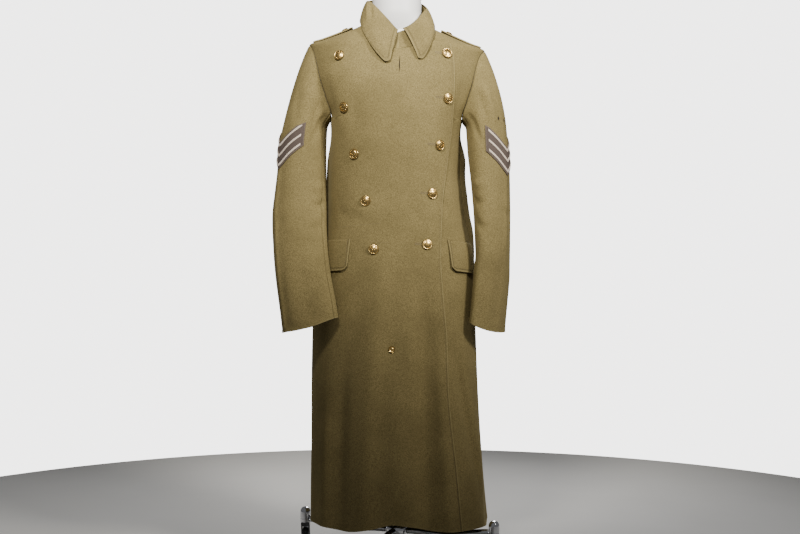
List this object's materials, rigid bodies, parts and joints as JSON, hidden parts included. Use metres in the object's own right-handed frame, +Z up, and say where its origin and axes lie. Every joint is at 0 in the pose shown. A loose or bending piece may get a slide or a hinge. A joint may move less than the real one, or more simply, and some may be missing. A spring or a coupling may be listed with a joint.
{
  "type": "military greatcoat on a limbless dress form with a castered stand",
  "caption": "Long double-breasted wool army greatcoat with brass buttons, sleeve chevrons and shoulder straps, on a dress form whose stand rolls.",
  "frame": {"origin": "centre of the bounding box at floor level, under the wheels", "axes": "+Z up, the coat's front faces -Y, and +X is the viewer's right, where the top front ends"},
  "size_m": [0.5995, 0.5902, 1.462],
  "materials": {
    "khaki_melton": "matte napped wool",
    "patch_felt": "matte felt",
    "worsted_braid": "matte woven braid",
    "brass": "polished, softly worn",
    "form_shell": "matte white",
    "chrome": "bright plated",
    "dark_steel": "dark satin",
    "wheel_rubber": "matte"
  },
  "bodies": {
    "stand": {"right_front": "khaki_melton", "left_front": "khaki_melton", "back_left": "khaki_melton", "back_right": "khaki_melton", "collar_stand": "khaki_melton", "collar_leaf": "khaki_melton", "top_sleeve_left": "khaki_melton", "under_sleeve_left": "khaki_melton", "top_sleeve_right": "khaki_melton", "under_sleeve_right": "khaki_melton", "shoulder_strap_left": "khaki_melton", "shoulder_strap_right": "khaki_melton", "pocket_flap_left": "khaki_melton", "pocket_flap_right": "khaki_melton", "chevron_patch_left": "patch_felt", "chevron_patch_right": "patch_felt", "chevron_bar_left_1": "worsted_braid", "chevron_bar_left_2": "worsted_braid", "chevron_bar_left_3": "worsted_braid", "chevron_bar_right_1": "worsted_braid", "chevron_bar_right_2": "worsted_braid", "chevron_bar_right_3": "worsted_braid", "button_left_1": "brass", "button_left_2": "brass", "button_left_3": "brass", "button_left_4": "brass", "button_left_5": "brass", "button_right_1": "brass", "button_right_2": "brass", "button_right_3": "brass", "button_right_4": "brass", "button_right_5": "brass", "button_skirt": "brass", "button_strap_left": "brass", "button_strap_right": "brass", "form_torso": "form_shell", "pole": "chrome", "hub": "chrome", "leg_1": "chrome", "leg_2": "chrome", "leg_3": "chrome", "leg_4": "chrome", "socket_1": "chrome", "socket_2": "chrome", "socket_3": "chrome", "socket_4": "chrome"},
    "swivel_1": {"caster_fork_1": "dark_steel"},
    "wheel_1": {"caster_wheel_1": "wheel_rubber"},
    "swivel_2": {"caster_fork_2": "dark_steel"},
    "wheel_2": {"caster_wheel_2": "wheel_rubber"},
    "swivel_3": {"caster_fork_3": "dark_steel"},
    "wheel_3": {"caster_wheel_3": "wheel_rubber"},
    "swivel_4": {"caster_fork_4": "dark_steel"},
    "wheel_4": {"caster_wheel_4": "wheel_rubber"}
  },
  "joints": [
    {"name": "caster_swivel_1", "type": "hinge", "parent": "stand", "child": "swivel_1", "pos_m": [-0.23022, 0.08722, 0.0883], "axis": [0, 0, 1], "continuous": true},
    {"name": "caster_roll_1", "type": "hinge", "parent": "swivel_1", "child": "wheel_1", "pos_m": [-0.23022, 0.10522, 0.03656], "axis": [1, 0, 0], "continuous": true},
    {"name": "caster_swivel_2", "type": "hinge", "parent": "stand", "child": "swivel_2", "pos_m": [-0.07782, -0.23962, 0.0883], "axis": [0, 0, 1], "continuous": true},
    {"name": "caster_roll_2", "type": "hinge", "parent": "swivel_2", "child": "wheel_2", "pos_m": [-0.07782, -0.25762, 0.03656], "axis": [1, 0, 0], "continuous": true},
    {"name": "caster_swivel_3", "type": "hinge", "parent": "stand", "child": "swivel_3", "pos_m": [0.24902, -0.08722, 0.0883], "axis": [0, 0, 1], "continuous": true},
    {"name": "caster_roll_3", "type": "hinge", "parent": "swivel_3", "child": "wheel_3", "pos_m": [0.24902, -0.10522, 0.03656], "axis": [1, 0, 0], "continuous": true},
    {"name": "caster_swivel_4", "type": "hinge", "parent": "stand", "child": "swivel_4", "pos_m": [0.09662, 0.23962, 0.0883], "axis": [0, 0, 1], "continuous": true},
    {"name": "caster_roll_4", "type": "hinge", "parent": "swivel_4", "child": "wheel_4", "pos_m": [0.09662, 0.25762, 0.03656], "axis": [1, 0, 0], "continuous": true}
  ]
}
